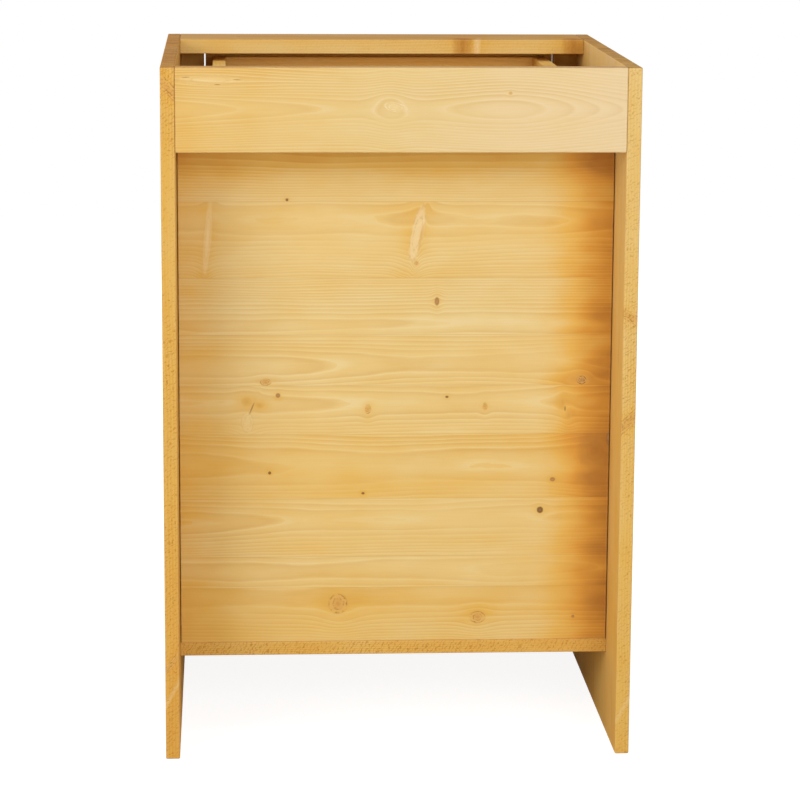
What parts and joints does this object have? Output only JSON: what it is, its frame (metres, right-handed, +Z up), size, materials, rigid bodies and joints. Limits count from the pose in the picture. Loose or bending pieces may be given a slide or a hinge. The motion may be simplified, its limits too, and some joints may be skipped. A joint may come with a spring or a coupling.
{
  "type": "kitchen base cabinet",
  "caption": "Freestanding solid pine kitchen base cabinet: drawer on roller runners over a hinged panel door, set-back back panel with pipe space behind, open top for a worktop.",
  "frame": {"origin": "on the floor, below the middle of the width and of the depth with the knobs", "axes": "+Z up, +Y to the wall behind the cabinet, +X to the right seen from the front"},
  "size_m": [0.6, 0.608, 0.89],
  "materials": {
    "pine": "satin",
    "beech": "matte",
    "plywood": "satin",
    "runner_steel": "satin",
    "roller_nylon": "satin",
    "hinge_brass": "satin",
    "screw_steel": "satin",
    "catch_plastic": "matte"
  },
  "bodies": {
    "carcass": {"right_side_panel": "pine", "left_side_panel": "pine", "bottom_panel": "pine", "back_panel": "pine", "rear_top_rail": "pine", "front_top_rail": "pine", "middle_rail": "pine", "plinth_board": "pine", "right_stile": "pine", "left_stile": "pine", "carcass_dowels": "beech", "shelf": "pine", "shelf_pins": "screw_steel", "right_batten": "pine", "left_batten": "pine", "batten_screws": "screw_steel", "right_cabinet_runner": "runner_steel", "left_cabinet_runner": "runner_steel", "cabinet_runner_screws": "screw_steel", "cabinet_roller_rivets": "screw_steel", "upper_frame_leaf": "hinge_brass", "lower_frame_leaf": "hinge_brass", "upper_hinge_pin": "hinge_brass", "lower_hinge_pin": "hinge_brass", "hinge_frame_screws": "screw_steel", "catch_housing": "catch_plastic", "catch_magnet": "screw_steel", "catch_screws": "screw_steel"},
    "drawer": {"drawer_face": "pine", "drawer_box_front": "pine", "drawer_right_side": "pine", "drawer_left_side": "pine", "drawer_back": "pine", "drawer_bottom": "plywood", "drawer_dowels": "beech", "drawer_face_screws": "screw_steel", "drawer_knob": "pine", "drawer_knob_screw": "screw_steel", "right_drawer_runner": "runner_steel", "left_drawer_runner": "runner_steel", "drawer_runner_screws": "screw_steel", "drawer_roller_rivets": "screw_steel"},
    "door": {"door_right_stile": "pine", "door_left_stile": "pine", "door_top_rail": "pine", "door_bottom_rail": "pine", "door_panel": "pine", "door_knob": "pine", "door_knob_screw": "screw_steel", "upper_door_leaf": "hinge_brass", "lower_door_leaf": "hinge_brass", "hinge_door_screws": "screw_steel", "strike_plate": "screw_steel", "strike_screws": "screw_steel"},
    "right_cabinet_roller": {"right_cabinet_roller": "roller_nylon"},
    "left_cabinet_roller": {"left_cabinet_roller": "roller_nylon"},
    "right_drawer_roller": {"right_drawer_roller": "roller_nylon"},
    "left_drawer_roller": {"left_drawer_roller": "roller_nylon"}
  },
  "joints": [
    {"name": "drawer_slide", "type": "slide", "parent": "carcass", "child": "drawer", "axis": [0, -1, 0], "range_m": [0, 0.3]},
    {"name": "door_hinge", "type": "hinge", "parent": "carcass", "child": "door", "pos_m": [-0.248, -0.2795, 0.415], "axis": [0, 0, -1], "range_deg": [0, 170]},
    {"name": "right_cabinet_roller_spin", "type": "hinge", "parent": "carcass", "child": "right_cabinet_roller", "pos_m": [0.24275, -0.244, 0.7618], "axis": [1, 0, 0], "continuous": true},
    {"name": "right_drawer_roller_spin", "type": "hinge", "parent": "drawer", "child": "right_drawer_roller", "pos_m": [0.24275, 0.13, 0.7628], "axis": [1, 0, 0], "continuous": true},
    {"name": "left_cabinet_roller_spin", "type": "hinge", "parent": "carcass", "child": "left_cabinet_roller", "pos_m": [-0.24275, -0.244, 0.7618], "axis": [1, 0, 0], "continuous": true},
    {"name": "left_drawer_roller_spin", "type": "hinge", "parent": "drawer", "child": "left_drawer_roller", "pos_m": [-0.24275, 0.13, 0.7628], "axis": [1, 0, 0], "continuous": true}
  ],
  "couplings": [
    {"joint": "right_cabinet_roller_spin", "follows": "drawer_slide", "rad_per_m": 133.33},
    {"joint": "right_drawer_roller_spin", "follows": "drawer_slide", "rad_per_m": 119.05},
    {"joint": "left_cabinet_roller_spin", "follows": "drawer_slide", "rad_per_m": 133.33},
    {"joint": "left_drawer_roller_spin", "follows": "drawer_slide", "rad_per_m": 119.05}
  ]
}
